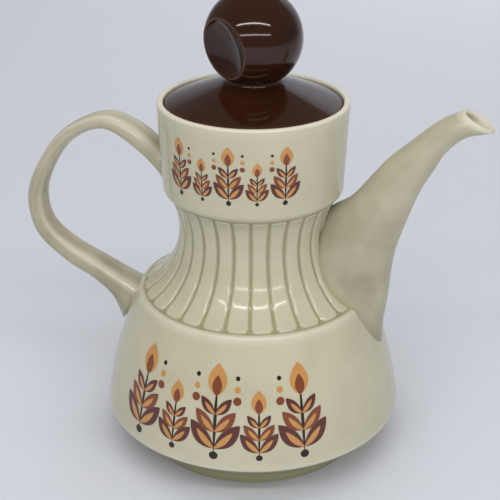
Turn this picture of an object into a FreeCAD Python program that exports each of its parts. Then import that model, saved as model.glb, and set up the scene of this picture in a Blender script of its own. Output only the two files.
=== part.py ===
# Glazed stoneware coffee pot: a ribbed pot with a luted spout and handle, and a lift-off lid with a ball knob.
# Millimetres. +Z up, +X towards the spout, origin on the pot's axis in the plane it stands on.
import FreeCAD, Part
import Sketcher
import math
import os

Vector = FreeCAD.Vector

# Driving dimensions

SIZES = {
    # Foot ring under the pot
    "foot_radius": 57.6,
    "foot_width": 6.0,
    "foot_recess": 3.0,
    "foot_neck_radius": 58.6,
    "foot_neck_height": 5.6,
    # Belly: flares down to a crisp lower edge
    "edge_radius": 77.2,
    "edge_height": 19.3,
    "edge_round": 1.6,
    "rim_round": 1.3,
    "belly_curve": 217.0,
    "shoulder_radius": 58.7,
    "shoulder_height": 83.5,
    # Ribbed waist between the belly and the collar
    "rib_end_radius": 57.2,
    "rib_end_height": 84.5,
    "waist_curve": 37.1,
    "rib_top_radius": 42.2,
    "rib_top_height": 135.7,
    "rib_count": 28,
    "rib_groove_radius": 1.3,
    # Collar, rim and the ledge that carries the lid
    "collar_radius": 44.9,
    "collar_height": 138.7,
    "rim_radius": 47.0,
    "rim_height": 183.5,
    "rim_wall": 3.4,
    "seat_depth": 5.5,
    "mouth_radius": 38.5,
    "ledge_thickness": 5.0,
    "ledge_slope": 4.0,
    # Walls of the pot
    "wall": 4.5,
    "floor_thickness": 6.0,
    "pour_hole_radius": 9.0,
    "pour_hole_height": 95.0,
    # Lid plate
    "lid_gap": 0.5,
    "lid_edge_thickness": 3.3,
    "lid_wall": 4.0,
    "dome_curve": 90.0,
    "flange_gap": 0.6,
    "flange_wall": 3.2,
    "flange_depth": 9.0,
    # Ball knob with two thumb dishes
    "knob_seat_rise": 9.8,
    "knob_radius": 23.7,
    "knob_seat_radius": 12.5,
    "knob_wall": 4.49,
    "knob_vent_radius": 5.0,
    "knob_turn": -35.0,
    "dish_radius": 14.7,
    "dish_floor_radius": 13.2,
    "dish_depth": 2.6,
    # Luted pieces: seam, walls and widths
    "lute_seam": 0.05,
    "spout_wall": 3.2,
    "spout_lip_wall": 2.2,
    "spout_root_width": 34.0,
    "spout_neck_width": 21.0,
    "spout_lip_width": 17.0,
    "handle_root_width": 21.0,
    "handle_grip_width": 17.0,
    "handle_tail_width": 23.0,
}

# Stations of the two luted pieces, root to tip. Each has a point on either edge of its side view:
# how far out from the ring of the pot that it is measured from, and how far above that ring.

SPOUT_STATIONS = [
    ("base", "shoulder", {"top_out": -36.7, "top_up": 14.5, "under_out": 9.3, "under_up": -31.5}),
    ("breast", "shoulder", {"top_out": -22.7, "top_up": 36.5, "under_out": 11.2, "under_up": -0.5}),
    ("collar", "collar", {"top_out": 3.1, "top_up": -1.1, "under_out": 27.6, "under_up": -28.7}),
    ("throat", "collar", {"top_out": 13.9, "top_up": 12.5, "under_out": 32.6, "under_up": -10.7}),
    ("neck", "collar", {"top_out": 22.1, "top_up": 21.6, "under_out": 39.7, "under_up": 7.0}),
    ("bend", "rim", {"top_out": 29.6, "top_up": -14.2, "under_out": 42.9, "under_up": -29.2}),
    ("beak", "rim", {"top_out": 38.9, "top_up": -5.5, "under_out": 48.0, "under_up": -20.5}),
    ("lip", "rim", {"top_out": 54.0, "top_up": 3.8, "under_out": 68.5, "under_up": -6.5}),
]

HANDLE_STATIONS = [
    ("root", "collar", {"top_out": -2.9, "top_up": 21.3, "under_out": -4.9, "under_up": -4.7}),
    ("rise", "collar", {"top_out": 14.6, "top_up": 30.3, "under_out": 13.4, "under_up": 13.3}),
    ("crest", "collar", {"top_out": 30.2, "top_up": 32.2, "under_out": 29.8, "under_up": 23.0}),
    ("bend", "collar", {"top_out": 52.7, "top_up": 23.0, "under_out": 46.3, "under_up": 17.8}),
    ("back", "collar", {"top_out": 69.2, "top_up": 4.2, "under_out": 58.8, "under_up": 3.4}),
    ("heel", "shoulder", {"top_out": 63.9, "top_up": 36.0, "under_out": 52.1, "under_up": 37.2}),
    ("elbow", "shoulder", {"top_out": 60.4, "top_up": 18.6, "under_out": 50.0, "under_up": 27.8}),
    ("arm", "shoulder", {"top_out": 43.5, "top_up": 2.3, "under_out": 37.5, "under_up": 14.7}),
    ("wrist", "shoulder", {"top_out": 27.1, "top_up": -6.5, "under_out": 21.1, "under_up": 5.7}),
    ("tail", "shoulder", {"top_out": 11.3, "top_up": -26.5, "under_out": -0.7, "under_up": -2.5}),
]

for piece, stations in (("spout", SPOUT_STATIONS), ("handle", HANDLE_STATIONS)):
    for station, _, offsets in stations:
        for offset, number in offsets.items():
            SIZES["_".join((piece, station, offset))] = number

doc = FreeCAD.newDocument("CoffeePot")
sheet = doc.addObject("Spreadsheet::Sheet", "Sizes")
for row, (name, number) in enumerate(SIZES.items(), start=1):
    sheet.set("A%d" % row, name)
    sheet.set("B%d" % row, str(number))
    sheet.setAlias("B%d" % row, name)
doc.recompute()


def size(words):
    """Value of a sum such as "rim_radius - rim_wall", read from the sheet."""
    total = 0.0
    sign = 1.0
    for word in words.split():
        if word in ("+", "-"):
            sign = 1.0 if word == "+" else -1.0
        else:
            total += sign * float(sheet.get(word))
    return total


def bound(words):
    """The same sum as an expression on the sheet's cells."""
    return " ".join(word if word in ("+", "-") else "Sizes." + word for word in words.split())


# Sketch helpers

def arc_centre(start, end, radius, side):
    """Centre of the arc from start to end; side is +1 where it lies left of the chord, -1 right of it."""
    middle = (start + end) * 0.5
    chord = end - start
    rise = math.sqrt(radius * radius - chord.Length * chord.Length / 4.0)
    left = Vector(-chord.y, chord.x, 0).normalize()
    return middle + left * (side * rise)


def arc_middle(start, end, radius, side):
    """Middle point of that arc, on the short way round."""
    centre = arc_centre(start, end, radius, side)
    outward = ((start + end) * 0.5 - centre).normalize()
    return centre + outward * radius


def origin_feature(body, role):
    return next(item for item in body.Origin.OriginFeatures if item.Role == role)


def new_sketch(body, name, role):
    sketch = body.newObject("Sketcher::SketchObject", name)
    sketch.AttachmentSupport = (origin_feature(body, role), [""])
    sketch.MapMode = "FlatFace"
    return sketch


def pin(sketch, geometry, end, kind, words):
    """Holds one coordinate of a point: on the axis where it is zero, else at a size from the sheet."""
    if words == "0":
        axis = -2 if kind == "DistanceX" else -1
        sketch.addConstraint(Sketcher.Constraint("PointOnObject", geometry, end, axis))
        return
    index = sketch.addConstraint(Sketcher.Constraint(kind, -1, 1, geometry, end, size(words)))
    sketch.setExpression("Constraints[%d]" % index, bound(words))


def corner_point(corner):
    return Vector(*[0.0 if words == "0" else size(words) for words in corner[:2]], 0)


def outline(sketch, corners):
    """Closed outline. A corner is (x, y) and, where an arc leads on from it, (radius, side)."""
    ends = []
    points = [corner_point(corner) for corner in corners]
    for number, corner in enumerate(corners):
        start = points[number]
        end = points[(number + 1) % len(points)]
        if len(corner) == 2:
            geometry = sketch.addGeometry(Part.LineSegment(start, end))
            ends.append((geometry, 1, 2))
            continue
        radius, side = corner[2]
        middle = arc_middle(start, end, size(radius), side)
        if side > 0:
            geometry = sketch.addGeometry(Part.Arc(start, middle, end))
            ends.append((geometry, 1, 2))
        else:
            geometry = sketch.addGeometry(Part.Arc(end, middle, start))
            ends.append((geometry, 2, 1))
        index = sketch.addConstraint(Sketcher.Constraint("Radius", geometry, size(radius)))
        sketch.setExpression("Constraints[%d]" % index, bound(radius))
    for number, (geometry, first, last) in enumerate(ends):
        following, following_first, _ = ends[(number + 1) % len(ends)]
        sketch.addConstraint(Sketcher.Constraint("Coincident", geometry, last, following, following_first))
        pin(sketch, geometry, first, "DistanceX", corners[number][0])
        pin(sketch, geometry, first, "DistanceY", corners[number][1])


# Outlines that the pieces share

SEAT = "rim_height - seat_depth"
KNOB_SEAT = "rim_height + knob_seat_rise"

OUTER_CORNERS = [
    ("foot_radius", "0"),
    ("foot_neck_radius", "foot_neck_height"),
    ("edge_radius", "edge_height", ("belly_curve", 1)),
    ("shoulder_radius", "shoulder_height"),
    ("rib_end_radius", "rib_end_height", ("waist_curve", -1)),
    ("rib_top_radius", "rib_top_height"),
    ("collar_radius", "collar_height"),
    ("rim_radius", "rim_height"),
]

INNER_CORNERS = [
    ("rim_radius - rim_wall", "rim_height"),
    ("rim_radius - rim_wall", SEAT),
    ("mouth_radius", SEAT),
    ("mouth_radius", SEAT + " - ledge_thickness"),
    ("collar_radius - wall", SEAT + " - ledge_thickness - ledge_slope"),
    ("collar_radius - wall", "collar_height"),
    ("rib_top_radius - wall", "rib_top_height - wall", ("waist_curve", 1)),
    ("rib_end_radius - wall", "rib_end_height - wall", ("belly_curve", -1)),
    ("edge_radius - wall", "edge_height"),
    ("foot_radius", "foot_recess + floor_thickness"),
    ("0", "foot_recess + floor_thickness"),
    ("0", "foot_recess"),
    ("foot_radius - foot_width", "foot_recess"),
    ("foot_radius - foot_width", "0"),
]


def ring_edges(shape, radius, height):
    """Names of the round edges of one radius at one height."""
    names = []
    for number, edge in enumerate(shape.Edges, start=1):
        curve = edge.Curve
        if isinstance(curve, Part.Circle):
            same_radius = abs(curve.Radius - radius) < 1e-4
            if same_radius and abs(curve.Center.z - height) < 1e-4:
                names.append("Edge%d" % number)
    return names


def revolve(body, name, corners):
    sketch = new_sketch(body, name + "_outline", "XZ_Plane")
    outline(sketch, corners)
    feature = body.newObject("PartDesign::Revolution", name)
    feature.Profile = sketch
    feature.ReferenceAxis = (sketch, ["V_Axis"])
    feature.Angle = 360
    doc.recompute()
    return feature


def round_edges(body, base, name, radius_name, edges):
    fillet = body.newObject("PartDesign::Fillet", name)
    fillet.Base = (base, edges)
    fillet.setExpression("Radius", bound(radius_name))
    doc.recompute()
    return fillet


def must_cut(feature, before):
    """Stops the build where a cut has taken nothing away."""
    if feature.Shape.Volume > before - 1.0:
        raise RuntimeError(feature.Name + " cut nothing")


# Pot: foot, belly, ribbed waist, collar and lid ledge, cast in one

def make_pot_body():
    body = doc.addObject("PartDesign::Body", "pot_body")
    shell = revolve(body, "pot_shell", OUTER_CORNERS + INNER_CORNERS)
    edge = ring_edges(shell.Shape, size("edge_radius"), size("edge_height"))
    shell = round_edges(body, shell, "belly_edge", "edge_round", edge)
    rim = ring_edges(shell.Shape, size("rim_radius"), size("rim_height"))
    rim += ring_edges(shell.Shape, size("rim_radius - rim_wall"), size("rim_height"))
    shell = round_edges(body, shell, "rim_lip", "rim_round", rim)
    cut_pour_hole(body, shell)
    cut_rib_grooves(body)
    return body


def cut_pour_hole(body, shell):
    sketch = new_sketch(body, "pour_hole_circle", "YZ_Plane")
    sketch.addGeometry(Part.Circle(Vector(0, size("pour_hole_height"), 0), Vector(0, 0, 1),
                                   size("pour_hole_radius")))
    sketch.addConstraint(Sketcher.Constraint("PointOnObject", 0, 3, -2))
    pin(sketch, 0, 3, "DistanceY", "pour_hole_height")
    index = sketch.addConstraint(Sketcher.Constraint("Radius", 0, size("pour_hole_radius")))
    sketch.setExpression("Constraints[%d]" % index, bound("pour_hole_radius"))
    volume = shell.Shape.Volume
    hole = body.newObject("PartDesign::Pocket", "pour_hole")
    hole.Profile = sketch
    hole.Reversed = True
    hole.setExpression("Length", bound("edge_radius"))
    doc.recompute()
    must_cut(hole, volume)


def cut_rib_grooves(body):
    """One groove is part of a ring that follows the waist's curve; it is repeated round the pot."""
    low = corner_point(("rib_end_radius", "rib_end_height"))
    high = corner_point(("rib_top_radius", "rib_top_height"))
    centre = arc_centre(low, high, size("waist_curve"), -1)
    first = math.degrees(math.atan2(high.y - centre.y, high.x - centre.x))
    last = math.degrees(math.atan2(low.y - centre.y, low.x - centre.x))
    volume = body.Tip.Shape.Volume
    groove = body.newObject("PartDesign::SubtractiveTorus", "rib_groove")
    groove.setExpression("Radius1", bound("waist_curve"))
    groove.setExpression("Radius2", bound("rib_groove_radius"))
    groove.Angle3 = (last - first) % 360.0
    groove.AttachmentSupport = (origin_feature(body, "XZ_Plane"), [""])
    groove.MapMode = "FlatFace"
    turn = FreeCAD.Rotation(Vector(0, 0, 1), first)
    groove.AttachmentOffset = FreeCAD.Placement(centre, turn)
    doc.recompute()
    must_cut(groove, volume)
    ribs = body.newObject("PartDesign::PolarPattern", "ribs")
    ribs.Originals = [groove]
    ribs.Axis = (origin_feature(body, "Z_Axis"), [""])
    ribs.Angle = 360
    ribs.setExpression("Occurrences", bound("rib_count"))
    body.Tip = ribs
    doc.recompute()


# Spout and handle: cast apart, trimmed to the pot and luted on

def pot_envelope():
    """The pot's outside as a filled solid, grown by the luting seam."""
    corners = OUTER_CORNERS + [("0", "rim_height"), ("0", "0")]
    points = [corner_point(corner) for corner in corners]
    edges = []
    for number, corner in enumerate(corners):
        start = points[number]
        end = points[(number + 1) % len(points)]
        if len(corner) == 2:
            edges.append(Part.LineSegment(start, end).toShape())
        else:
            radius, side = corner[2]
            edges.append(Part.Arc(start, arc_middle(start, end, size(radius), side), end).toShape())
    face = Part.Face(Part.Wire(edges)).makeOffset2D(size("lute_seam"), 2)
    half = face.common(Part.makePlane(2 * size("edge_radius"), 2 * size("rim_height"),
                                      Vector(0, -size("edge_radius"), 0))).Faces[0]
    half.rotate(Vector(), Vector(1, 0, 0), 90)
    return half.revolve(Vector(), Vector(0, 0, 1), 360).Solids[0]


def station_edges(piece, station, ring, towards):
    """Upper and lower point of a station's side view, on the side that towards points to."""
    points = []
    for edge in ("top", "under"):
        name = "_".join((piece, station, edge))
        out = size(ring + "_radius") + size(name + "_out")
        points.append(Vector(towards * out, 0, size(ring + "_height") + size(name + "_up")))
    return points


def oval(top, under, width, wall=0.0):
    """Closed smooth section between two points, as wide as given, drawn in by a wall."""
    middle = (top + under) * 0.5
    half = (top - under) * 0.5
    half = half * ((half.Length - wall) / half.Length)
    across = Vector(0, width / 2.0 - wall, 0)
    steps = 12
    points = []
    for step in range(steps):
        angle = 2.0 * math.pi * step / steps
        points.append(middle + half * math.cos(angle) + across * math.sin(angle))
    curve = Part.BSplineCurve()
    curve.interpolate(points, PeriodicFlag=True)
    return Part.Wire(curve.toShape())


def blend(numbers, share):
    """Value at a share of the way along a run of evenly spaced numbers."""
    place = share * (len(numbers) - 1)
    first = min(int(place), len(numbers) - 2)
    return numbers[first] + (numbers[first + 1] - numbers[first]) * (place - first)


def make_spout(envelope):
    widths = [size(name) for name in ("spout_root_width", "spout_neck_width", "spout_lip_width")]
    walls = [size("spout_wall"), size("spout_wall"), size("spout_lip_wall")]
    outer = []
    bore = []
    for number, (station, ring, _) in enumerate(SPOUT_STATIONS):
        share = number / (len(SPOUT_STATIONS) - 1.0)
        top, under = station_edges("spout", station, ring, 1.0)
        width = blend(widths, share)
        outer.append(oval(top, under, width))
        bore.append(oval(top, under, width, blend(walls, share)))
    beyond = (top - under).cross(Vector(0, 1, 0)).normalize() * -size("spout_wall")
    bore.append(oval(top + beyond, under + beyond, width, walls[-1]))
    solid = Part.makeLoft(outer, True, False, False, 3)
    channel = Part.makeLoft(bore, True, False, False, 3)
    feature = doc.addObject("Part::Feature", "spout")
    feature.Shape = solid.cut(envelope).cut(channel)
    return feature


def make_handle(envelope):
    names = ("handle_root_width", "handle_grip_width", "handle_grip_width", "handle_tail_width")
    widths = [size(name) for name in names]
    sections = []
    for number, (station, ring, _) in enumerate(HANDLE_STATIONS):
        share = number / (len(HANDLE_STATIONS) - 1.0)
        top, under = station_edges("handle", station, ring, -1.0)
        sections.append(oval(top, under, blend(widths, share)))
    feature = doc.addObject("Part::Feature", "handle")
    feature.Shape = Part.makeLoft(sections, True, False, False, 3).cut(envelope)
    return feature


# Lid: domed plate with a locating flange, and the ball knob luted to its crown

def make_lid_plate():
    body = doc.addObject("PartDesign::Body", "lid_plate")
    edge = "rim_radius - rim_wall - lid_gap"
    flange = "mouth_radius - flange_gap"
    revolve(body, "lid_dome", [
        (edge, SEAT),
        (edge, SEAT + " + lid_edge_thickness", ("dome_curve", 1)),
        ("knob_seat_radius", KNOB_SEAT),
        ("knob_vent_radius", KNOB_SEAT),
        ("knob_vent_radius", KNOB_SEAT + " - lid_wall"),
        ("knob_seat_radius", KNOB_SEAT + " - lid_wall", ("dome_curve", -1)),
        (flange + " - flange_wall", SEAT + " + lid_edge_thickness"),
        (flange + " - flange_wall", SEAT + " - flange_depth"),
        (flange, SEAT + " - flange_depth"),
        (flange, SEAT),
    ])
    return body


def make_lid_knob():
    ball = doc.addObject("Part::Sphere", "knob_ball")
    ball.setExpression("Radius", "Sizes.knob_radius")
    ball.setExpression("Angle1", "-acos(Sizes.knob_seat_radius / Sizes.knob_radius)")
    reach = "sqrt(Sizes.knob_radius^2 - Sizes.dish_radius^2)"
    cavity = doc.addObject("Part::Sphere", "knob_cavity")
    cavity.setExpression("Radius", reach + " - Sizes.dish_depth - Sizes.knob_wall")
    vent = doc.addObject("Part::Cylinder", "knob_vent")
    vent.setExpression("Radius", "Sizes.knob_vent_radius")
    vent.setExpression("Height", "Sizes.knob_radius")
    vent.setExpression("Placement.Base.z", "-Sizes.knob_radius")
    tools = [cavity, vent]
    height = "(Sizes.knob_radius - %s + Sizes.dish_depth)" % reach
    slope = "(Sizes.dish_radius - Sizes.dish_floor_radius) / Sizes.dish_depth"
    for name, side in (("dish_front", -1), ("dish_back", 1)):
        dish = doc.addObject("Part::Cone", name)
        dish.Placement.Rotation = FreeCAD.Rotation(Vector(1, 0, 0), -90.0 * side)
        dish.setExpression("Radius1", "Sizes.dish_floor_radius")
        dish.setExpression("Radius2", "Sizes.dish_floor_radius + %s * %s" % (slope, height))
        dish.setExpression("Height", height)
        dish.setExpression("Placement.Base.y", "%d * (%s - Sizes.dish_depth)" % (side, reach))
        tools.append(dish)
    hollows = doc.addObject("Part::MultiFuse", "knob_hollows")
    hollows.Shapes = tools
    knob = doc.addObject("Part::Cut", "lid_knob")
    knob.Base = ball
    knob.Tool = hollows
    drop = "sqrt(Sizes.knob_radius^2 - Sizes.knob_seat_radius^2)"
    knob.Placement.Rotation = FreeCAD.Rotation(Vector(0, 0, 1), size("knob_turn"))
    knob.setExpression("Placement.Base.z", "Sizes.rim_height + Sizes.knob_seat_rise + " + drop)
    return knob


envelope = pot_envelope()
pieces = [make_pot_body(), make_spout(envelope), make_handle(envelope), make_lid_plate(), make_lid_knob()]
doc.recompute()

for item in doc.Objects:
    if "Invalid" in item.State or "Error" in item.State:
        raise RuntimeError("%s failed: %s" % (item.Name, item.State))
for piece in pieces:
    piece.Label = piece.Name
    shape = piece.Shape
    if shape.isNull() or not shape.isValid() or len(shape.Solids) != 1:
        raise RuntimeError("%s is not one sound solid" % piece.Name)

os.makedirs("parts", exist_ok=True)
for piece in pieces:
    piece.Shape.exportStep(os.path.join("parts", piece.Label + ".step"))
    box = piece.Shape.BoundBox
    print("%-10s volume %9.0f mm3, X %.1f to %.1f, Y %.1f to %.1f, Z %.1f to %.1f" % (
        piece.Label, piece.Shape.Volume, box.XMin, box.XMax, box.YMin, box.YMax, box.ZMin, box.ZMax))
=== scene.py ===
# %% [markdown]
# A glazed stoneware coffee pot: a flared belly, a ribbed waist, a plain collar, a long spout, a
# loop handle and a brown lid with a ball knob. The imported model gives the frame: +Z up, +X towards
# the spout, and the origin on the pot's axis where it stands. Blender works in metres there. The
# sizes of the pieces are written in millimetres, as a potter would note them.

# %% Load the frame
import bmesh
import bpy
import math
from mathutils import Matrix, Vector


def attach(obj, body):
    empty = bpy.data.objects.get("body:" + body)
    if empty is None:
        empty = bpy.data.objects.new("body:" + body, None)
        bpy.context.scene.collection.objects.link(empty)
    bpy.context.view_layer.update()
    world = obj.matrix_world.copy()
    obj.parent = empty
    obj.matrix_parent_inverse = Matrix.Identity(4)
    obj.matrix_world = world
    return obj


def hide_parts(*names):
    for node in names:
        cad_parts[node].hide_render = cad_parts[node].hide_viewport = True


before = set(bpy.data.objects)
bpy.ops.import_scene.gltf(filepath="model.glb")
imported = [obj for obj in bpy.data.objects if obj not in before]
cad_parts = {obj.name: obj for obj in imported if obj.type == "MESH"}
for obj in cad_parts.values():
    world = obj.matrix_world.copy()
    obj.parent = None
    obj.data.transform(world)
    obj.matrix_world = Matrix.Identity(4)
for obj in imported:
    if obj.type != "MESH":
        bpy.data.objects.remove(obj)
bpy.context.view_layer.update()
MM = 0.001

# %% [markdown]
# Each turned piece is one outline spun round an axis, as a jigger or a lathe shapes clay. An
# outline is a few corners with straight runs or arcs between them. Cast and glazed clay has no
# knife edges, so each corner gets a small soft curve, and because the curve is part of the outline
# the spin needs no bevel afterwards.

# %% Outline helpers
EASE_STEPS = 5


def run_point(start, end, radius, share):
    """Point on the run between two corners, at a share of the way.

    A positive radius bulges to the right of the way, and a negative one to the left.
    """
    chord = end - start
    if not radius:
        return start + chord * share
    half = chord.length / 2
    side = math.copysign(1.0, radius)
    right = Vector((chord.y, -chord.x)).normalized() * side
    centre = (start + end) / 2 - right * math.sqrt(radius * radius - half * half)
    sweep = 2 * math.asin(half / abs(radius)) * side
    spoke = start - centre
    turn = Matrix.Rotation(sweep * share, 2)
    return centre + turn @ spoke


def outline(corners):
    """Points along corners, in millimetres.

    A corner is x, z and its rounding, and then the radius and the steps of the run that follows.
    """
    places = [Vector(corner[:2]) for corner in corners]
    points = []
    for number in range(len(corners) - 1):
        start, end = places[number], places[number + 1]
        length = (end - start).length
        _, _, rounding, radius, steps = corners[number]
        first = rounding / length
        last = 1 - corners[number + 1][2] / length
        if rounding:
            before = points[-1]
            after = run_point(start, end, radius, first)
            for step in range(1, EASE_STEPS):
                share = step / EASE_STEPS
                points.append(before.lerp(start, share).lerp(start.lerp(after, share), share))
        for step in range(steps + 1):
            share = first + (last - first) * step / steps
            points.append(run_point(start, end, radius, share))
    return points


# %% [markdown]
# A spin joins its last copy of the outline to the first, and the points on the axis fall together,
# so the doubles are merged and the faces turned outwards. A finished bmesh becomes a smooth object,
# and a piece of the pot is then hung on the body that it moves with.

# %% Spin and finish helpers
MERGE_DISTANCE = 0.005 * MM


def spun(points, axis, steps, marks=None):
    """A bmesh of the outline turned fully about an axis.

    Marks, one for each point, are carried along as a float on each vertex.
    """
    shape = bmesh.new()
    mark_layer = shape.verts.layers.float.new("mark")
    upright = axis == "Z"
    corners = []
    for number, point in enumerate(points):
        out, along = point.x * MM, point.y * MM
        vert = shape.verts.new((out, 0, along) if upright else (along, out, 0))
        vert[mark_layer] = marks[number] if marks else 0.0
        corners.append(vert)
    edges = [shape.edges.new(pair) for pair in zip(corners, corners[1:])]
    turn_axis = (0, 0, 1) if upright else (1, 0, 0)
    bmesh.ops.spin(shape, geom=corners + edges, cent=(0, 0, 0), axis=turn_axis,
                   angle=2 * math.pi, steps=steps, use_merge=True)
    bmesh.ops.remove_doubles(shape, verts=shape.verts, dist=MERGE_DISTANCE)
    bmesh.ops.recalc_face_normals(shape, faces=shape.faces)
    return shape


def smooth_object(shape, name, *materials):
    """Turns a bmesh into a smooth object in the scene."""
    for face in shape.faces:
        face.smooth = True
    mesh = bpy.data.meshes.new(name)
    shape.to_mesh(mesh)
    shape.free()
    for material in materials:
        mesh.materials.append(material)
    made = bpy.data.objects.new(name, mesh)
    bpy.context.scene.collection.objects.link(made)
    print(name, len(mesh.polygons), "faces")
    return made


def finish_piece(shape, name, body, node, slot, *materials):
    """Makes a piece that rides on a body and stands for a node where one is given; slot is not used.
    """
    piece = smooth_object(shape, name, *materials)
    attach(piece, body)
    if node:
        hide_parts(node)


# %% [markdown]
# Colours are written as they look, as sRGB hex, and one function turns them into the linear values
# that a shader works with. One small function adds a node with its settings and its links. A Mix
# node holds sockets for several kinds of value under the same names, so its colour sockets go by
# number.

# %% Material helpers
COLOUR_MIX = [("data_type", "RGBA")]
FACTOR, FIRST_COLOUR, SECOND_COLOUR, MIXED = 0, 6, 7, 2


def colour(text):
    """Linear colour of an sRGB hex value."""
    channels = [int(text[place:place + 2], 16) / 255 for place in (1, 3, 5)]
    linear = [c / 12.92 if c <= 0.04045 else ((c + 0.055) / 1.055) ** 2.4 for c in channels]
    return (*linear, 1.0)


def new_material(name):
    """A new material, its node tree and its shader."""
    material = bpy.data.materials.new(name)
    material.use_nodes = True
    return material, material.node_tree, material.node_tree.nodes["Principled BSDF"]


def add_node(tree, kind, settings=(), inputs=(), links=()):
    """One node.

    Settings are its properties, inputs its plain values, and links pair an input with a socket.
    """
    node = tree.nodes.new(kind)
    for key, value in settings:
        setattr(node, key, value)
    for key, value in inputs:
        node.inputs[key].default_value = value
    for key, socket in links:
        tree.links.new(socket, node.inputs[key])
    return node


# %% [markdown]
# The pot's glaze is a glossy cream with a breath of celadon green. Glaze flows as it melts: it
# thins over edges, which turn paler, and pools in grooves, which turn greener. Two floats on the
# mesh, one for thin glaze and one for pooled glaze, say how far each point lies on an edge or in a
# groove, and the colour follows them. The pooled one also carries painted shade: below the belly's
# edge it darkens the underside and the foot ring's sides with the same green. Two soft noises give
# the cloudy tone of a kiln firing and a tan stain. The stain is strong low on the spout and the
# handle, fades upwards, and is faint all over the pot. A slight bump gives the waviness of a
# dipped glaze.

# %% Cream glaze
CREAM = "#C0BBA2"
CREAM_CLOUD = "#B5B198"
# Green of pooled glaze; below the belly's edge it is also painted shade.
POOLED_GREEN_AND_SHADE = "#959170"
TAN_STAIN = "#8A836C"
THIN_PALE = "#D8D4C3"
CREAM_CLOUD_SIZE = 45 * MM
BLOTCH_SIZE = 18 * MM
CREAM_WAVE_SIZE = 9 * MM
STAIN_BOTTOM = 80.0
STAIN_TOP = 185.0
STAIN_FULL = 0.75


def cream_glaze(name, stain_low, stain_high, stain_start):
    """The glaze with a stain of one strength low down and another high up.

    The stain starts at one value of its noise and is full at STAIN_FULL.
    """
    material, tree, shader = new_material(name)
    place = add_node(tree, "ShaderNodeTexCoord").outputs["Object"]
    cloud = add_node(tree, "ShaderNodeTexNoise",
                     inputs=[("Scale", 1 / CREAM_CLOUD_SIZE), ("Detail", 3.0)],
                     links=[("Vector", place)])
    base = add_node(tree, "ShaderNodeMix", COLOUR_MIX,
                    [(FIRST_COLOUR, colour(CREAM)), (SECOND_COLOUR, colour(CREAM_CLOUD))],
                    [(FACTOR, cloud.outputs["Fac"])])
    blotch = add_node(tree, "ShaderNodeTexNoise",
                      inputs=[("Scale", 1 / BLOTCH_SIZE), ("Detail", 4.0)],
                      links=[("Vector", place)])
    split = add_node(tree, "ShaderNodeSeparateXYZ", links=[("Vector", place)])
    fade = add_node(tree, "ShaderNodeMapRange",
                    inputs=[("From Min", STAIN_BOTTOM * MM), ("From Max", STAIN_TOP * MM),
                            ("To Min", stain_low), ("To Max", stain_high)],
                    links=[("Value", split.outputs["Z"])])
    stain = add_node(tree, "ShaderNodeMapRange",
                     inputs=[("From Min", stain_start), ("From Max", STAIN_FULL), ("To Min", 0.0)],
                     links=[("Value", blotch.outputs["Fac"]), ("To Max", fade.outputs["Result"])])
    # Pooled glaze in grooves and seams, and below the belly's edge painted shade as well.
    pool_and_shade = add_node(tree, "ShaderNodeAttribute", [("attribute_name", "pool_and_shade")])
    thin = add_node(tree, "ShaderNodeAttribute", [("attribute_name", "thin")])
    tone = base.outputs[MIXED]
    for text, amount in ((TAN_STAIN, stain.outputs["Result"]),
                         (POOLED_GREEN_AND_SHADE, pool_and_shade.outputs["Fac"]),
                         (THIN_PALE, thin.outputs["Fac"])):
        layer = add_node(tree, "ShaderNodeMix", COLOUR_MIX, [(SECOND_COLOUR, colour(text))],
                         [(FACTOR, amount), (FIRST_COLOUR, tone)])
        tone = layer.outputs[MIXED]
    wave = add_node(tree, "ShaderNodeTexNoise",
                    inputs=[("Scale", 1 / CREAM_WAVE_SIZE), ("Detail", 2.0)],
                    links=[("Vector", place)])
    bump = add_node(tree, "ShaderNodeBump", inputs=[("Strength", 0.05), ("Distance", 1 * MM)],
                    links=[("Height", wave.outputs["Fac"])])
    tree.links.new(tone, shader.inputs["Base Color"])
    tree.links.new(bump.outputs["Normal"], shader.inputs["Normal"])
    shader.inputs["Roughness"].default_value = 0.12
    shader.inputs["IOR"].default_value = 1.5
    return material


pot_glaze = cream_glaze("cream_celadon_glaze", 0.15, 0.15, 0.45)
luted_glaze = cream_glaze("cream_celadon_glaze_stained", 1.0, 0.35, 0.1)
print("glazes", pot_glaze.name, luted_glaze.name)

# %% [markdown]
# The foot ring is wiped clean of glaze before firing, or the pot would stick to the kiln shelf. It
# shows the bare buff stoneware: matt, with a grit that is drawn a little coarse so that it shows.

# %% Bare stoneware
BUFF = "#B9A98A"
BUFF_DARK = "#93836A"
GRIT_SIZE = 1.2 * MM


def bare_stoneware():
    material, tree, shader = new_material("bare_stoneware")
    place = add_node(tree, "ShaderNodeTexCoord").outputs["Object"]
    grit = add_node(tree, "ShaderNodeTexNoise",
                    inputs=[("Scale", 1 / GRIT_SIZE), ("Detail", 5.0)], links=[("Vector", place)])
    tone = add_node(tree, "ShaderNodeMix", COLOUR_MIX,
                    [(FIRST_COLOUR, colour(BUFF)), (SECOND_COLOUR, colour(BUFF_DARK))],
                    [(FACTOR, grit.outputs["Fac"])])
    bump = add_node(tree, "ShaderNodeBump", inputs=[("Strength", 0.3), ("Distance", 0.3 * MM)],
                    links=[("Height", grit.outputs["Fac"])])
    tree.links.new(tone.outputs[MIXED], shader.inputs["Base Color"])
    tree.links.new(bump.outputs["Normal"], shader.inputs["Normal"])
    shader.inputs["Roughness"].default_value = 0.85
    return material


foot_clay = bare_stoneware()
print("clay", foot_clay.name)

# %% [markdown]
# The lid has a chocolate-brown glaze, thick and very glossy, so it is read mostly by its
# reflections. It breaks to a warmer red-brown in soft clouds and to amber where it thins over an
# edge, and its surface has the same slight waviness as the cream glaze.

# %% Brown glaze
CHOCOLATE = "#221006"
RED_BROWN = "#35190C"
AMBER_BREAK = "#7B4A24"
BROWN_CLOUD_SIZE = 30 * MM
BROWN_WAVE_SIZE = 11 * MM


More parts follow.
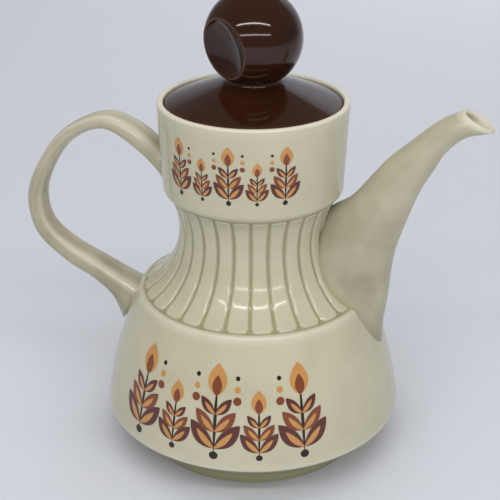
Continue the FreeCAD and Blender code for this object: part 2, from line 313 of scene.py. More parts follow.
def brown_glaze():
    material, tree, shader = new_material("chocolate_glaze")
    place = add_node(tree, "ShaderNodeTexCoord").outputs["Object"]
    cloud = add_node(tree, "ShaderNodeTexNoise",
                     inputs=[("Scale", 1 / BROWN_CLOUD_SIZE), ("Detail", 4.0)],
                     links=[("Vector", place)])
    tone = add_node(tree, "ShaderNodeMix", COLOUR_MIX,
                    [(FIRST_COLOUR, colour(CHOCOLATE)), (SECOND_COLOUR, colour(RED_BROWN))],
                    [(FACTOR, cloud.outputs["Fac"])])
    thin = add_node(tree, "ShaderNodeAttribute", [("attribute_name", "thin")])
    thinned = add_node(tree, "ShaderNodeMix", COLOUR_MIX, [(SECOND_COLOUR, colour(AMBER_BREAK))],
                       [(FACTOR, thin.outputs["Fac"]), (FIRST_COLOUR, tone.outputs[MIXED])])
    wave = add_node(tree, "ShaderNodeTexNoise",
                    inputs=[("Scale", 1 / BROWN_WAVE_SIZE), ("Detail", 2.0)],
                    links=[("Vector", place)])
    bump = add_node(tree, "ShaderNodeBump", inputs=[("Strength", 0.04), ("Distance", 1 * MM)],
                    links=[("Height", wave.outputs["Fac"])])
    tree.links.new(thinned.outputs[MIXED], shader.inputs["Base Color"])
    tree.links.new(bump.outputs["Normal"], shader.inputs["Normal"])
    shader.inputs["Roughness"].default_value = 0.08
    shader.inputs["IOR"].default_value = 1.46
    return material


lid_glaze = brown_glaze()
print("glaze", lid_glaze.name)

# %% [markdown]
# The pot body is one casting. Its outline goes from the middle of the underside round the foot, up
# the belly to the ridge, up the concave waist, over the step of the collar to the rim, and back
# down inside. The waist has close rows at both ends, where the ribs end, and wide rows between.

# %% Pot outline
FOOT = (57.6, 0.0)
FOOT_WIDTH = 6.0
FOOT_NECK = (58.6, 5.6)
BELLY_EDGE = (77.2, 20.6)
SHOULDER = (58.7, 83.5)
RIB_END = (57.2, 84.5)
RIB_TOP = (42.2, 135.7)
COLLAR = (44.9, 138.7)
RIM = (47.0, 183.5)
BELLY_CURVE = 217.0
WAIST_CURVE = 37.1
WALL = 4.5
RIM_WALL = 3.4
SEAT = 178.0
MOUTH = 38.5
LEDGE = 5.0
LEDGE_SLOPE = 4.0
FLOOR = 9.0
RECESS = 3.0

lower_points = outline([
    (0.0, RECESS, 0, None, 3),
    (FOOT[0] - FOOT_WIDTH, RECESS, 0.8, None, 1),
    (FOOT[0] - FOOT_WIDTH, 0.0, 0.8, None, 1),
    (*FOOT, 0.9, None, 1),
    (*FOOT_NECK, 2.0, None, 4),
    (*BELLY_EDGE, 1.8, BELLY_CURVE, 18),
    (*SHOULDER, 0.6, None, 1),
    (*RIB_END, 0, None, 0),
])
upper_points = outline([
    (*RIB_TOP, 0, None, 1),
    (*COLLAR, 1.2, None, 8),
    (*RIM, 1.5, None, 1),
    (RIM[0] - RIM_WALL, RIM[1], 1.5, None, 2),
    (RIM[0] - RIM_WALL, SEAT, 0.6, None, 1),
    (MOUTH, SEAT, 0.8, None, 1),
    (MOUTH, SEAT - LEDGE, 0.8, None, 1),
    (COLLAR[0] - WALL, SEAT - LEDGE - LEDGE_SLOPE, 2.0, None, 3),
    (COLLAR[0] - WALL, COLLAR[1], 3.0, None, 1),
    (RIB_TOP[0] - WALL, RIB_TOP[1] - WALL, 0, WAIST_CURVE, 12),
    (RIB_END[0] - WALL, RIB_END[1] - WALL, 2.0, -BELLY_CURVE, 6),
    (BELLY_EDGE[0] - WALL, BELLY_EDGE[1], 4.0, None, 1),
    (FOOT[0], FLOOR, 4.0, None, 3),
    (0.0, FLOOR, 0, None, 0),
])
print(len(lower_points), "points below the waist and", len(upper_points), "above it")

# %% [markdown]
# A mark on each point of the waist holds its way along the ribs, so that after the spin every
# vertex knows where it lies, and the points elsewhere have a mark below zero. The outside alone, up
# to the rim, is kept as well, because the other pieces have to meet it.

# %% Waist rows and marks
LOW_SHARE, LOW_ROWS = 0.16, 22
MIDDLE_SHARE, MIDDLE_ROWS = 0.74, 20
HIGH_SHARE, HIGH_ROWS = 0.10, 12
COLLAR_POINTS = 20
NO_MARK = -1.0

waist_shares = [LOW_SHARE * row / LOW_ROWS for row in range(LOW_ROWS)]
waist_shares += [LOW_SHARE + MIDDLE_SHARE * row / MIDDLE_ROWS for row in range(MIDDLE_ROWS)]
waist_shares += [1 - HIGH_SHARE + HIGH_SHARE * row / HIGH_ROWS for row in range(HIGH_ROWS + 1)]
waist_points = [run_point(Vector(RIB_END), Vector(RIB_TOP), -WAIST_CURVE, share)
                for share in waist_shares]
waist_ways = [0.0]
for before, after in zip(waist_points, waist_points[1:]):
    waist_ways.append(waist_ways[-1] + (after - before).length)
WAIST_LENGTH = waist_ways[-1]

outside_points = lower_points + waist_points[1:] + upper_points[:COLLAR_POINTS]
pot_outline = lower_points[:-1] + waist_points + upper_points[1:]
marks = [NO_MARK] * (len(lower_points) - 1) + waist_ways + [NO_MARK] * (len(upper_points) - 1)
print("waist", round(WAIST_LENGTH, 1), "mm along the ribs,", len(pot_outline), "outline points")

# %% [markdown]
# Twenty-eight flat ribs run up the waist, parted by narrow grooves. Each rib is a long panel with
# rounded corners, and the groove runs on round its lower end. Cutting every groove as its own shape
# would be slow, so the spun grid is pressed instead: its columns are first drawn towards the
# grooves, where the detail is, and then each vertex is measured against the edge of its panel, as
# on paper rolled flat, and sinks by the groove's depth there.

# %% Rib helpers
RIB_COUNT = 28
RIB_STEPS = 16
RIB_PITCH = 2 * math.pi / RIB_COUNT
COLUMN_DRAW = 1.5
GROOVE_HALF = 0.72
GROOVE_DEPTH = 0.9
GROOVE_FLOOR = 0.6
EDGE_EASE = 0.75
PANEL_START = 1.2
PANEL_STOP = 0.6
LOW_CORNER = 0.6
HIGH_CORNER = 0.25
LOW_FADE = 1.0
HIGH_FADE = 0.5


def smooth_step(value):
    """0 up to 0 and 1 from 1 on, with an easy slope between."""
    value = min(1.0, max(0.0, value))
    return value * value * (3 - 2 * value)


def drawn_to_groove(angle):
    """An angle moved towards its nearest groove, the more the nearer it is."""
    groove = round(angle / RIB_PITCH)
    side = angle / RIB_PITCH - groove
    return (groove + math.copysign(0.5 * (2 * abs(side)) ** COLUMN_DRAW, side)) * RIB_PITCH


def past_panel(across, beyond, half_rib, corner):
    """Signed distance outside one end of a panel with rounded corners."""
    x = across - half_rib + corner
    y = beyond + corner
    return math.hypot(max(x, 0.0), max(y, 0.0)) + min(max(x, y), 0.0) - corner


def groove_share(way, radius, angle):
    """How far a point of the waist lies in a groove, from 0 on a rib's face to 1 on its floor."""
    across = abs((angle / RIB_PITCH) % 1.0 - 0.5) * RIB_PITCH * radius
    half_rib = RIB_PITCH * radius / 2 - GROOVE_HALF
    above = way - (WAIST_LENGTH - PANEL_STOP)
    lower = past_panel(across, PANEL_START - way, half_rib, LOW_CORNER * half_rib)
    upper = past_panel(across, above, half_rib, HIGH_CORNER * half_rib)
    ease = EDGE_EASE + GROOVE_FLOOR * GROOVE_HALF
    sunk = smooth_step((max(lower, upper) + EDGE_EASE) / ease)
    return sunk * smooth_step(way / LOW_FADE) * smooth_step((WAIST_LENGTH - way) / HIGH_FADE)


# %% [markdown]
# The spun pot gets its two glaze floats. The glaze is thin on the rim, on the ridge above the belly
# and on the belly's lower edge. Below that edge it turns darker and greener, partly glaze that has
# run and pooled there and partly painted shade of the underside. In the same pass the columns move
# towards the grooves.

# %% Spin the pot and mark its glaze
RIM_THIN, RIM_THIN_START, RIM_THIN_RUN = 0.7, 2.0, 1.6
RIDGE_THIN, RIDGE_REACH = 0.5, 1.8
EDGE_THIN, EDGE_REACH = 0.7, 2.6
FOOT_POOL_AND_SHADE_START, FOOT_POOL_AND_SHADE_RUN = 1.0, 5.0


def near(distance, reach):
    """1 on a line, easing to 0 at a reach from it."""
    return smooth_step(1 - distance / reach)


pot = spun(pot_outline, "Z", RIB_COUNT * RIB_STEPS, marks)
mark_layer = pot.verts.layers.float["mark"]
pool_and_shade_layer = pot.verts.layers.float.new("pool_and_shade")
thin_layer = pot.verts.layers.float.new("thin")
for vert in pot.verts:
    radius = math.hypot(vert.co.x, vert.co.y)
    height = vert.co.z / MM
    from_ridge = math.hypot(radius / MM - SHOULDER[0], height - SHOULDER[1])
    from_edge = math.hypot(radius / MM - BELLY_EDGE[0], height - BELLY_EDGE[1])
    vert[thin_layer] = max(
        RIM_THIN * smooth_step((height - RIM[1] + RIM_THIN_START) / RIM_THIN_RUN),
        RIDGE_THIN * near(from_ridge, RIDGE_REACH),
        EDGE_THIN * near(from_edge, EDGE_REACH))
    # Darker and greener below the belly's edge: partly run and pooled glaze, partly painted shade of
    # the underside and the foot ring's sides.
    vert[pool_and_shade_layer] = smooth_step((BELLY_EDGE[1] - FOOT_POOL_AND_SHADE_START - height) / FOOT_POOL_AND_SHADE_RUN)
    angle = drawn_to_groove(math.atan2(vert.co.y, vert.co.x))
    vert.co.x, vert.co.y = radius * math.cos(angle), radius * math.sin(angle)
pot.normal_update()
print("pot spun,", len(pot.verts), "vertices")

# %% [markdown]
# Now the grooves are pressed. All the moves are worked out before the first vertex moves, because
# each uses the surface as it was. Glaze fills the grooves and gathers a little under the collar,
# and it is thin along the edges of the ribs. The face of the foot ring stays bare.

# %% Press the ribs into the waist
COLLAR_POOL, COLLAR_POOL_RUN = 0.4, 8.0
RIB_EDGE_THIN, RIB_EDGE_SHARE = 0.45, 0.2
FOOT_FACE = 0.4 * MM

pressed = []
for vert in pot.verts:
    way = vert[mark_layer]
    if way < 0:
        continue
    radius = math.hypot(vert.co.x, vert.co.y) / MM
    share = groove_share(way, radius, math.atan2(vert.co.y, vert.co.x))
    under_collar = smooth_step((way - WAIST_LENGTH + COLLAR_POOL_RUN) / COLLAR_POOL_RUN)
    off_edge = abs(share - RIB_EDGE_SHARE) / RIB_EDGE_SHARE
    vert[pool_and_shade_layer] = max(share, COLLAR_POOL * under_collar)
    vert[thin_layer] = RIB_EDGE_THIN * max(0.0, 1 - off_edge)
    pressed.append((vert, vert.normal * (-share * GROOVE_DEPTH * MM)))
for vert, move in pressed:
    vert.co += move
for face in pot.faces:
    face.material_index = 1 if face.calc_center_median().z < FOOT_FACE else 0
pot.verts.layers.float.remove(mark_layer)
print("ribs pressed on", len(pressed), "vertices")
finish_piece(pot, "pot_glazed_body", "pot", "pot_body", "cream_glaze", pot_glaze, foot_clay)

# %% [markdown]
# Spout and handle are cast apart, trimmed to the pot and luted on with slip. Both are lofts: ovals
# set along the piece and bridged one to the next. A smooth curve through a few measured stations
# places the ovals. A station is a row of numbers: x and z of the upper edge of the side view, x and
# z of the lower edge, and the width.

# %% Loft helpers
CORNER_THIN, CORNER_NARROW = 0.55, 8


def smooth_through(stations, count):
    """Evenly spaced rows on a smooth curve through stations."""
    rows = [Vector(station) for station in stations]
    ways = [0.0]
    for before, after in zip(rows, rows[1:]):
        ways.append(ways[-1] + (after - before).length)
    slopes = [(after - before) / (after - before).length for before, after in zip(rows, rows[1:])]
    leans = [slopes[0]]
    for number in range(1, len(rows) - 1):
        first = ways[number] - ways[number - 1]
        second = ways[number + 1] - ways[number]
        leans.append((slopes[number - 1] * second + slopes[number] * first) / (first + second))
    leans.append(slopes[-1])
    found = []
    number = 0
    for step in range(count):
        way = ways[-1] * step / (count - 1)
        while number < len(rows) - 2 and way > ways[number + 1]:
            number += 1
        span = ways[number + 1] - ways[number]
        t = (way - ways[number]) / span
        leaving = 2 * t ** 3 - 3 * t ** 2 + 1
        arriving = 3 * t ** 2 - 2 * t ** 3
        found.append(rows[number] * leaving + rows[number + 1] * arriving
                     + leans[number] * (span * (t ** 3 - 2 * t ** 2 + t))
                     + leans[number + 1] * (span * (t ** 3 - t ** 2)))
    return found


def add_oval(shape, row, segments, inward=0.0, forward=0.0, square=1.0):
    """A ring of edges at a row of stations, drawn in by a wall and pushed along the piece.

    A square below 1 fills the oval's corners out. Glaze thins there where the shape has that float.
    """
    top, under, width = Vector((row[0], 0, row[1])), Vector((row[2], 0, row[3])), row[4]
    half = (top - under) / 2
    middle = (top + under) / 2
    across = Vector((0, 1, 0))
    ahead = across.cross(half.normalized())
    half = half * ((half.length - inward) / half.length)
    made = bmesh.ops.create_circle(shape, cap_ends=False, radius=1.0, segments=segments)
    thin_layer = shape.verts.layers.float.get("thin")
    for vert in made["verts"]:
        if thin_layer:
            vert[thin_layer] = CORNER_THIN * abs(2 * vert.co.x * vert.co.y) ** CORNER_NARROW
        vert.co.x = math.copysign(abs(vert.co.x) ** square, vert.co.x)
        vert.co.y = math.copysign(abs(vert.co.y) ** square, vert.co.y)
    matrix = Matrix.Identity(4)
    for axis in range(3):
        matrix[axis][0] = half[axis] * MM
        matrix[axis][1] = across[axis] * (width / 2 - inward) * MM
        matrix[axis][2] = ahead[axis] * MM
        matrix[axis][3] = (middle[axis] + ahead[axis] * forward) * MM
    bmesh.ops.transform(shape, matrix=matrix, verts=made["verts"])
    return list({edge for vert in made["verts"] for edge in vert.link_edges})


def bridge_chain(shape, rings):
    """Skins a chain of rings and closes its two ends."""
    for first, second in zip(rings, rings[1:]):
        bmesh.ops.bridge_loops(shape, edges=first + second)
    bmesh.ops.holes_fill(shape, edges=[edge for edge in shape.edges if edge.is_boundary])
    bmesh.ops.recalc_face_normals(shape, faces=shape.faces)


# %% [markdown]
# Where a piece is luted on, the slip makes a small soft fillet, and glaze pools in it. So a piece
# flares as it nears the pot, and its end is kept inside the pot's wall, where it doesn't show. Both
# need the pot's own shape, so one helper gives its radius at any height.

# %% Luting helpers
SEAM_POOL = 0.75
SEAM_FLARE = 0.3
BURIED = 1.6


def pot_radius(height):
    """Outer radius of the pot at a height, in millimetres, and its change per millimetre."""
    for low, high in zip(outside_points, outside_points[1:]):
        if low.y <= height <= high.y and high.y > low.y:
            share = (height - low.y) / (high.y - low.y)
            return low.x + (high.x - low.x) * share, (high.x - low.x) / (high.y - low.y)
    return (RIM[0], 0.0) if height > RIM[1] else (FOOT[0], 0.0)


def pot_gap(place):
    """Distance of a place from the pot's outside, in millimetres, negative inside the wall."""
    radius, slope = pot_radius(place.z / MM)
    return (math.hypot(place.x, place.y) / MM - radius) / math.sqrt(1 + slope * slope)


def lute_to_pot(shape, flare):
    """Flares a piece where it nears the pot, buries its end and pools glaze in the seam."""
    pool_and_shade_layer = shape.verts.layers.float.new("pool_and_shade")
    shape.normal_update()
    moves = []
    for vert in shape.verts:
        gap = pot_gap(vert.co)
        ease = max(0.0, 1 - max(gap, 0.0) / flare)
        vert[pool_and_shade_layer] = SEAM_POOL * ease ** 3
        moves.append((vert, vert.normal * (SEAM_FLARE * flare * ease ** 2 * MM), gap))
    for vert, push, gap in moves:
        vert.co += push
        if gap < -BURIED:
            radius, _ = pot_radius(vert.co.z / MM)
            flat = Vector((vert.co.x, vert.co.y, 0)).normalized() * (radius - BURIED) * MM
            vert.co.x, vert.co.y = flat.x, flat.y


# %% [markdown]
# The spout rises from a broad root on the belly, leans away from the collar and turns outwards to a
# small slanted lip at the height of the rim. The bore is the same loft drawn in by the wall. A few
# rings round the lip join the two skins, and the glaze is thin there.

# %% Spout
SPOUT_STATIONS = [
    (22.0, 86.0, 65.5, 52.0, 34.0),
    (39.9, 129.7, 69.9, 83.0, 31.0),
    (50.6, 138.9, 72.5, 110.0, 27.0),
    (58.9, 149.4, 77.5, 128.0, 23.0),
    (67.2, 159.6, 84.0, 146.0, 20.3),
    (76.9, 168.7, 89.0, 155.3, 18.6),
    (86.0, 177.0, 94.3, 165.0, 17.4),
    (93.2, 182.3, 103.3, 173.4, 16.8),
    (99.2, 185.3, 115.5, 176.6, 16.8),
]
SPOUT_RINGS = 64
SPOUT_SEGMENTS = 48
SPOUT_WALL = 3.0
SPOUT_FLARE = 5.0
LIP_WALL = 2.8
LIP_TURNS = (30, 70, 110, 150)
LIP_THIN, LIP_REACH = 0.6, 2.5
BORE_END = 22
BORE_SKIP = 2

spout = bmesh.new()
spout_rows = smooth_through(SPOUT_STATIONS, SPOUT_RINGS)
lip = spout_rows[-1]
rings = [add_oval(spout, row, SPOUT_SEGMENTS) for row in spout_rows]
for turn in LIP_TURNS:
    angle = math.radians(turn)
    inward, forward = LIP_WALL / 2 * (1 - math.cos(angle)), LIP_WALL / 2 * math.sin(angle)
    rings.append(add_oval(spout, lip, SPOUT_SEGMENTS, inward, forward))
for number in range(SPOUT_RINGS - 1, BORE_END, -BORE_SKIP):
    wall = SPOUT_WALL + (LIP_WALL - SPOUT_WALL) * number / (SPOUT_RINGS - 1)
    rings.append(add_oval(spout, spout_rows[number], SPOUT_SEGMENTS, wall))
bridge_chain(spout, rings)
lip_middle = Vector((lip[0] + lip[2], 0, lip[1] + lip[3])) / 2
lip_slant = Vector((lip[0] - lip[2], 0, lip[1] - lip[3]))
lip_ahead = Vector((0, 1, 0)).cross(lip_slant).normalized()
thin_layer = spout.verts.layers.float.new("thin")
for vert in spout.verts:
    before_lip = (lip_middle - vert.co / MM).dot(lip_ahead)
    vert[thin_layer] = LIP_THIN * near(before_lip, LIP_REACH)
lute_to_pot(spout, SPOUT_FLARE)
finish_piece(spout, "pot_spout", "pot", "spout", "cream_glaze", luted_glaze)

# %% [markdown]
# The handle is a rounded strap that leaves the collar, rises to a crest, swings out to a broad heel
# and comes back to the belly, where it spreads into a flat tail with a pointed end. Its ovals are
# filled out towards a rectangle, and its glaze is thin along the four corners.

# %% Handle
HANDLE_STATIONS = [
    (-42.0, 150.0, -40.0, 134.0, 19.5),
    (-58.3, 164.9, -58.3, 152.0, 17.5),
    (-75.1, 170.6, -74.7, 161.9, 16.1),
    (-97.3, 161.5, -91.4, 156.6, 15.5),
    (-113.4, 142.7, -104.4, 142.2, 15.5),
    (-121.7, 119.5, -112.4, 121.3, 15.5),
    (-118.4, 102.8, -110.3, 108.7, 15.7),
    (-102.0, 86.2, -97.0, 96.6, 16.3),
    (-85.8, 77.2, -80.3, 88.0, 18.0),
    (-76.6, 69.6, -70.5, 83.0, 20.0),
    (-71.0, 56.0, -58.0, 78.0, 22.5),
]
HANDLE_RINGS = 90
HANDLE_SEGMENTS = 36
HANDLE_SQUARE = 0.86
HANDLE_FLARE = 3.0

handle = bmesh.new()
handle.verts.layers.float.new("thin")
bridge_chain(handle, [add_oval(handle, row, HANDLE_SEGMENTS, square=HANDLE_SQUARE)
                      for row in smooth_through(HANDLE_STATIONS, HANDLE_RINGS)])
lute_to_pot(handle, HANDLE_FLARE)
finish_piece(handle, "pot_handle", "pot", "handle", "cream_glaze", luted_glaze)

# %% [markdown]
# The lid is a domed disc with a locating flange below, spun like the pot. Its crown swells into a
# short neck that carries the ball, so that the two glazed pieces run together as they do on the
# real lid.

# %% Lid plate
LID_EDGE = 43.1
LID_RIM = 4.2
LID_STEPS = 128
LID_THIN, LID_REACH = 0.6, 1.4
KNOB_SEAT = 193.3
KNOB_FOOT = 12.5
NECK = 14.1
VENT = 5.0
DOME_CURVE = 300.0
UNDER_CURVE = 90.0
FLANGE_OUT = MOUTH - 0.6
FLANGE_IN = MOUTH - 3.8
FLANGE_END = SEAT - 9.0

lid = spun(outline([
    (0.0, KNOB_SEAT + 3.0, 0, None, 1),
    (13.0, KNOB_SEAT + 3.0, 0, None, 1),
    (NECK, KNOB_SEAT + 1.4, 0, None, 1),
    (NECK, KNOB_SEAT - 0.3, 1.2, -DOME_CURVE, 16),
    (LID_EDGE, SEAT + LID_RIM, 1.0, None, 1),
    (LID_EDGE, SEAT, 0.5, None, 1),
    (FLANGE_OUT, SEAT, 0.6, None, 2),
    (FLANGE_OUT, FLANGE_END, 1.0, None, 1),
    (FLANGE_IN, FLANGE_END, 1.0, None, 2),
    (FLANGE_IN, SEAT + 3.3, 2.0, UNDER_CURVE, 10),
    (KNOB_FOOT, KNOB_SEAT - 4.0, 0, None, 1),
    (VENT, KNOB_SEAT - 4.0, 0.6, None, 1),
    (VENT, KNOB_SEAT + 1.0, 0.6, None, 1),
    (0.0, KNOB_SEAT + 1.0, 0, None, 0),
]), "Z", LID_STEPS)
thin_layer = lid.verts.layers.float.new("thin")
for vert in lid.verts:
    radius = math.hypot(vert.co.x, vert.co.y) / MM
    from_edge = math.hypot(radius - LID_EDGE, vert.co.z / MM - SEAT - LID_RIM)
    vert[thin_layer] = LID_THIN * near(from_edge, LID_REACH)
finish_piece(lid, "lid_dome", "lid", "lid_plate", "brown_glaze", lid_glaze)

# %% [markdown]
# The knob is a ball with a shallow thumb dish on either side. Seen along the dishes it is round, so
# one outline spun about that axis makes the whole ball, dishes and lips included, and then it is
# turned and set in place.

# %% Ball knob
KNOB_RADIUS = 23.7
KNOB_CENTRE = KNOB_SEAT + math.sqrt(KNOB_RADIUS ** 2 - KNOB_FOOT ** 2)
BALL_STEPS = 112
DISH_RADIUS = 14.7
DISH_DEPTH = 4.4
DISH_CURVE = 27.8
DISH_REACH = math.sqrt(KNOB_RADIUS ** 2 - DISH_RADIUS ** 2)
DISH_TURN = math.radians(-35.0 - 90)
DISH_TILT = math.radians(7.5)
DISH_THIN, DISH_THIN_REACH = 0.28, 1.3

near_half = outline([
    (0.0, DISH_REACH - DISH_DEPTH, 0, DISH_CURVE, 16),
    (DISH_RADIUS - 1.2, DISH_REACH - 0.9, 0.9, None, 1),
    (DISH_RADIUS, DISH_REACH, 0.8, -KNOB_RADIUS, 24),
    (KNOB_RADIUS, 0.0, 0, None, 0),
])
far_half = [Vector((point.x, -point.y)) for point in reversed(near_half[:-1])]
ball = spun(near_half + far_half, "X", BALL_STEPS)
thin_layer = ball.verts.layers.float.new("thin")
for vert in ball.verts:
    radius = math.hypot(vert.co.y, vert.co.z) / MM
    from_lip = math.hypot(radius - DISH_RADIUS, abs(vert.co.x) / MM - DISH_REACH)
    vert[thin_layer] = DISH_THIN * near(from_lip, DISH_THIN_REACH)
facing = Matrix.Rotation(DISH_TURN, 4, "Z") @ Matrix.Rotation(DISH_TILT, 4, "Y")
lifted = Matrix.Translation((0, 0, KNOB_CENTRE * MM))
bmesh.ops.transform(ball, matrix=lifted @ facing, verts=ball.verts)
finish_piece(ball, "lid_ball", "lid", "lid_knob", "brown_glaze", lid_glaze)
print("knob top", round(KNOB_CENTRE + KNOB_RADIUS, 1), "mm")

# %% [markdown]
# The pot carries a fired-on ornament on collar and belly, front and back: a plain frieze of five
# upright sprigs, tall and short in turn, with columns of berries between them. A transfer print is
# a thin film in the glaze, less glossy than the glaze itself, in flat colours with a slight
# unevenness of ink.

# %% Ornament finishes
INK_GRAIN_SIZE = 7 * MM
INK_DEEP = 0.86
FILMS = (("print_amber", "#C08B4C"), ("print_rust", "#7A4027"),
         ("print_plum", "#562A25"), ("print_dark", "#231311"))
AMBER, RUST, PLUM, DARK = range(len(FILMS))


def print_film(name, text):
    material, tree, shader = new_material(name)
    place = add_node(tree, "ShaderNodeTexCoord").outputs["Object"]
    grain = add_node(tree, "ShaderNodeTexNoise",
                     inputs=[("Scale", 1 / INK_GRAIN_SIZE), ("Detail", 3.0)],
                     links=[("Vector", place)])
    deep = tuple(channel * INK_DEEP for channel in colour(text)[:3]) + (1.0,)
    tone = add_node(tree, "ShaderNodeMix", COLOUR_MIX,
                    [(FIRST_COLOUR, deep), (SECOND_COLOUR, colour(text))],
                    [(FACTOR, grain.outputs["Fac"])])
    tree.links.new(tone.outputs[MIXED], shader.inputs["Base Color"])
    shader.inputs["Roughness"].default_value = 0.24
    return material


print_films = [print_film(name, text) for name, text in FILMS]
print("films", [film.name for film in print_films])

# %% [markdown]
# A motif is drawn in millimetres on flat paper, x to the right and y up, and then rolled onto the
# pot: x becomes a turn about the axis and y a way up the wall. Leaves and buds are grids squeezed
# to a pointed oval. The height of a shape above the paper is its level, and each colour has a
# higher level than the one it is printed over. Drawn as geometry, the motifs keep their sharp edges
# at any distance.

# %% Motif helpers
LEAF_BLUNT = 0.8
LEAF_LEAN = math.radians(52)
UPRIGHT = math.pi / 2


def ink(made, film):
    """Gives the faces of a shape just made one of the print's colours."""
    for face in {face for vert in made["verts"] for face in vert.link_faces}:
        face.material_index = film


def oval_leaf(drawing, start, angle, length, width, film, level, bend=0.0, fullness=1.0):
    """A pointed oval from a start point; bend curls its tip, fullness shifts its widest part."""
    made = bmesh.ops.create_grid(drawing, x_segments=14, y_segments=4, size=1.0)
    for vert in made["verts"]:
        along = (vert.co.x + 1) / 2
        half = 0.0
        if 0 < along < 1:
            half = width / 2 * math.sin(math.pi * along ** fullness) ** LEAF_BLUNT
        x = along * length
        y = vert.co.y * half + bend * along * along
        vert.co = Vector((start[0] + x * math.cos(angle) - y * math.sin(angle),
                          start[1] + x * math.sin(angle) + y * math.cos(angle), level))
    ink(made, film)


def bead(drawing, centre, radius, film, level):
    """A round dot."""
    made = bmesh.ops.create_circle(drawing, cap_ends=True, cap_tris=True, radius=radius,
                                   segments=20, matrix=Matrix.Translation((*centre, level)))
    ink(made, film)


def sprig(drawing, foot, height):
    """An upright stem with a bud on top and three pairs of leaves that shrink upwards.

    All its sizes are shares of its height.
    """
    oval_leaf(drawing, foot, UPRIGHT, 0.8 * height, 0.035 * height, DARK, 1)
    bead(drawing, foot, 0.045 * height, DARK, 2)
    for number, film in enumerate((PLUM, RUST, PLUM)):
        size = (1 - 0.18 * number) * height
        root = (foot[0], foot[1] + (0.08 + 0.19 * number) * height)
        for lean in (1, -1):
            angle = UPRIGHT - lean * LEAF_LEAN
            oval_leaf(drawing, root, angle, 0.38 * size, 0.17 * size, film, 2, 0.06 * lean * size)
            oval_leaf(drawing, root, angle, 0.27 * size, 0.065 * size, AMBER, 3,
                      0.04 * lean * size)
    bud = (foot[0], foot[1] + 0.66 * height)
    oval_leaf(drawing, bud, UPRIGHT, 0.34 * height, 0.22 * height, AMBER, 2, fullness=0.9)
    oval_leaf(drawing, bud, UPRIGHT, 0.22 * height, 0.11 * height, RUST, 3, fullness=0.9)


# %% [markdown]
# A frieze is drawn whole and then rolled onto the wall, a few hundredths of a millimetre proud, as
# the film on a glazed pot is. The one on the collar is smaller than the one on the belly. Each is
# given by the height of its middle, the height of its tall sprigs and the distance between stems.

# %% Lay the ornament on front and back
FRONT, BACK = -math.pi / 2, math.pi / 2
COLLAR_FRIEZE = (161.0, 28.0, 13.5)
BELLY_FRIEZE = (50.0, 46.0, 21.0)
SPRIG_PLACES = (-2, -1, 0, 1, 2)
BERRY_PLACES = (-1.5, -0.5, 0.5, 1.5)
SHORT_SPRIG = 0.74
FILM_LIFT, FILM_STEP = 0.05, 0.03
FILM_MERGE = 0.002 * MM


def roll_on(point, middle_turn, middle_height):
    """Where a point of the flat drawing lies on the pot."""
    radius, slope = pot_radius(middle_height)
    height = middle_height + point.y / math.sqrt(1 + slope * slope)
    turn = middle_turn + point.x / radius
    radius, _ = pot_radius(height)
    radius += FILM_LIFT + FILM_STEP * point.z
    return Vector((radius * math.cos(turn) * MM, radius * math.sin(turn) * MM, height * MM))


def lay_print(name, middle_turn, middle_height, tall, pitch):
    """A frieze of five sprigs and four columns of berries, centred at a turn and a height."""
    drawing = bmesh.new()
    base = -tall / 2
    for place in SPRIG_PLACES:
        sprig(drawing, (place * pitch, base), tall if place % 2 == 0 else SHORT_SPRIG * tall)
    for place in BERRY_PLACES:
        for step, film in enumerate((RUST, AMBER, DARK)):
            centre = (place * pitch, base + (0.62 + 0.12 * step) * tall)
            bead(drawing, centre, (0.045 - 0.01 * step) * tall, film, 1)
    for vert in drawing.verts:
        vert.co = roll_on(vert.co, middle_turn, middle_height)
    bmesh.ops.remove_doubles(drawing, verts=drawing.verts, dist=FILM_MERGE)
    finish_piece(drawing, name, "pot", None, None, *print_films)


for side, turn in (("front", FRONT), ("back", BACK)):
    lay_print("collar_print_" + side, turn, *COLLAR_FRIEZE)
    lay_print("belly_print_" + side, turn, *BELLY_FRIEZE)

# %% [markdown]
# The pot stands on a pale paper sweep, as on a photographer's table: flat under the pot and rolled
# up to a wall well behind it. Here the sizes are in metres. The paper is matt, with hardly any
# shine.

# %% Paper sweep
SWEEP_HALF = 4.0
SWEEP_ROWS = 80
SWEEP_START = 1.8
SWEEP_RADIUS = 0.6


def pale_paper():
    material, _, shader = new_material("pale_paper")
    shader.inputs["Base Color"].default_value = colour("#CDD0D8")
    shader.inputs["Roughness"].default_value = 0.9
    shader.inputs["Specular IOR Level"].default_value = 0.1
    return material


sweep = bmesh.new()
bmesh.ops.create_grid(sweep, x_segments=1, y_segments=SWEEP_ROWS, size=SWEEP_HALF)
for vert in sweep.verts:
    turn = min(max(0.0, vert.co.y - SWEEP_START) / SWEEP_RADIUS, math.pi / 2)
    wall = max(0.0, vert.co.y - SWEEP_START - SWEEP_RADIUS * math.pi / 2)
    if turn:
        vert.co.y = SWEEP_START + SWEEP_RADIUS * math.sin(turn)
        vert.co.z = SWEEP_RADIUS * (1 - math.cos(turn)) + wall
floor = smooth_object(sweep, "floor", pale_paper())

# %% [markdown]
# Broad lamps light the pot evenly from all sides, and one washes the wall of paper behind it. They
# don't show in the glaze, which mirrors only the paper, a dim room and two long strip lamps in
# front. That keeps the reflections few and soft, and each colour renders about as it is written.

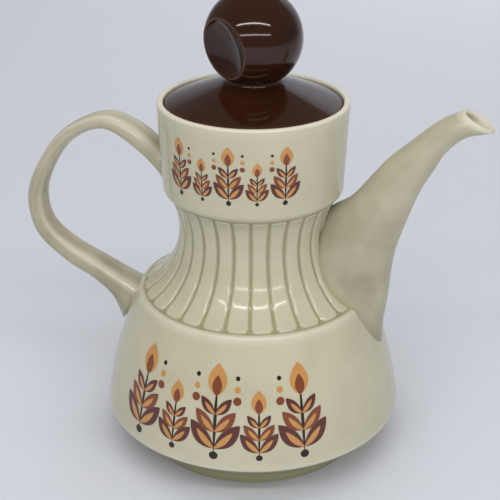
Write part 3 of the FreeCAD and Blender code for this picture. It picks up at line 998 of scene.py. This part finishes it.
# %% Lamps and room
POT_MIDDLE = (0, 0, 0.12)
WAIST_TOP = (0, 0, 0.15)
LAMPS = [
    # name, place, aim, width, height, watts, mirrored in the glaze
    ("strip_high", (0.21, -0.79, 1.09), WAIST_TOP, 1.8, 0.05, 6.0, True),
    ("strip_low", (0.37, -1.14, 0.67), WAIST_TOP, 1.9, 0.05, 3.4, True),
    ("ceiling", (-0.2, -0.1, 1.7), (-0.2, -0.1, 0), 2.2, 2.2, 18.0, False),
    ("front", (0.0, -1.4, 0.5), POT_MIDDLE, 1.6, 1.0, 4.2, False),
    ("right", (1.3, -0.6, 0.6), POT_MIDDLE, 1.2, 0.8, 3.5, False),
    ("left", (-1.4, 0.3, 0.6), POT_MIDDLE, 1.2, 0.8, 0.8, False),
    ("back", (0.2, 1.4, 0.7), POT_MIDDLE, 1.2, 0.8, 3.0, False),
    ("wash", (0.0, 1.5, 1.6), (0, 2.4, 0.7), 2.4, 0.4, 16.0, False),
]
ROOM_COLOUR = "#E6E1DC"
ROOM_STRENGTH = 0.26


def soft_lamp(name, place, aim, width, height, power, mirrored):
    """A rectangle of light; one that isn't mirrored lights the pot without showing in its glaze."""
    lamp = bpy.data.lights.new(name, "AREA")
    lamp.shape = "RECTANGLE"
    lamp.size = width
    lamp.size_y = height
    lamp.energy = power
    holder = bpy.data.objects.new(name, lamp)
    holder.location = place
    facing = (Vector(aim) - Vector(place)).to_track_quat("-Z", "Y")
    holder.rotation_euler = facing.to_euler()
    holder.visible_glossy = mirrored
    bpy.context.scene.collection.objects.link(holder)


for lamp in LAMPS:
    soft_lamp(*lamp)
world = bpy.data.worlds.new("pale_room")
world.use_nodes = True
background = world.node_tree.nodes["Background"]
background.inputs["Color"].default_value = colour(ROOM_COLOUR)
background.inputs["Strength"].default_value = ROOM_STRENGTH
bpy.context.scene.world = world
print(len(LAMPS), "lamps")

# %% [markdown]
# The camera stands where the photograph was taken from: a little to the right of the pot's front
# and above it, looking down. Its lens is worked out from the focal length in pixels of the square
# image.

# %% Camera
CAMERA_BACK = 0.5554
CAMERA_HEIGHT = 0.3634
CAMERA_TURN = math.radians(14.6)
CAMERA_PAN = math.radians(0.17)
CAMERA_PITCH = math.radians(25.15)
FOCAL_PIXELS = 1200.0
IMAGE_PIXELS = 500.0
SENSOR_WIDTH = 36.0

view = bpy.data.cameras.new("photo_view")
view.sensor_width = SENSOR_WIDTH
view.lens = view.sensor_width * FOCAL_PIXELS / IMAGE_PIXELS
camera = bpy.data.objects.new("photo_view", view)
camera.location = (CAMERA_BACK * math.sin(CAMERA_TURN), -CAMERA_BACK * math.cos(CAMERA_TURN),
                   CAMERA_HEIGHT)
camera.rotation_euler = (math.pi / 2 - CAMERA_PITCH, 0.0, CAMERA_TURN + CAMERA_PAN)
bpy.context.scene.collection.objects.link(camera)
bpy.context.scene.camera = camera
bpy.context.scene.view_settings.view_transform = "Standard"
print("lens", round(view.lens, 1), "mm")
